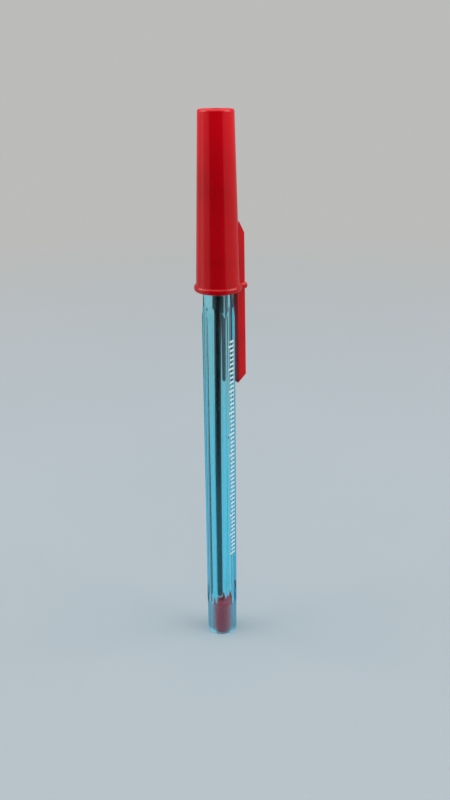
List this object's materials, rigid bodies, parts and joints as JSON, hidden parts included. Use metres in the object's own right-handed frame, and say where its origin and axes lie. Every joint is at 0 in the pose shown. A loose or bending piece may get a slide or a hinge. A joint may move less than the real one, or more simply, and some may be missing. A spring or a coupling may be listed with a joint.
{
  "type": "ballpoint pen",
  "caption": "Stick ballpoint pen with a clear six-sided barrel, pull-off cap with pocket clip, ink tube, nose piece and rolling writing ball, standing on its rear end.",
  "frame": {"origin": "centre of the rear end face, on the pen's axis", "axes": "+Z along the pen from the rear end to the writing tip and cap top; a barrel flat faces -Y and a barrel corner is on +X; the clip is 36.5 degrees from +X towards +Y"},
  "size_m": [0.0135, 0.0125, 0.148],
  "materials": {
    "clear_blue_plastic": "clear, polished",
    "red_plastic": "gloss",
    "natural_plastic": "satin, slightly milky",
    "point_metal": "turned",
    "ball_metal": "lapped",
    "tube_plastic": "clear",
    "red_ink": "wet"
  },
  "bodies": {
    "pen": {"barrel": "clear_blue_plastic", "end_plug": "red_plastic", "tip_holder": "natural_plastic", "writing_point": "point_metal", "ink_tube": "tube_plastic", "ink": "red_ink"},
    "cap": {"cap": "red_plastic"},
    "ball": {"ball": "ball_metal"}
  },
  "joints": [
    {"name": "cap_pull", "type": "slide", "parent": "pen", "child": "cap", "axis": [0, 0, 1], "range_m": [0, 0.07]},
    {"name": "ball_roll", "type": "hinge", "parent": "pen", "child": "ball", "pos_m": [0, 0, 0.14274], "axis": [1, 0, 0], "continuous": true}
  ]
}
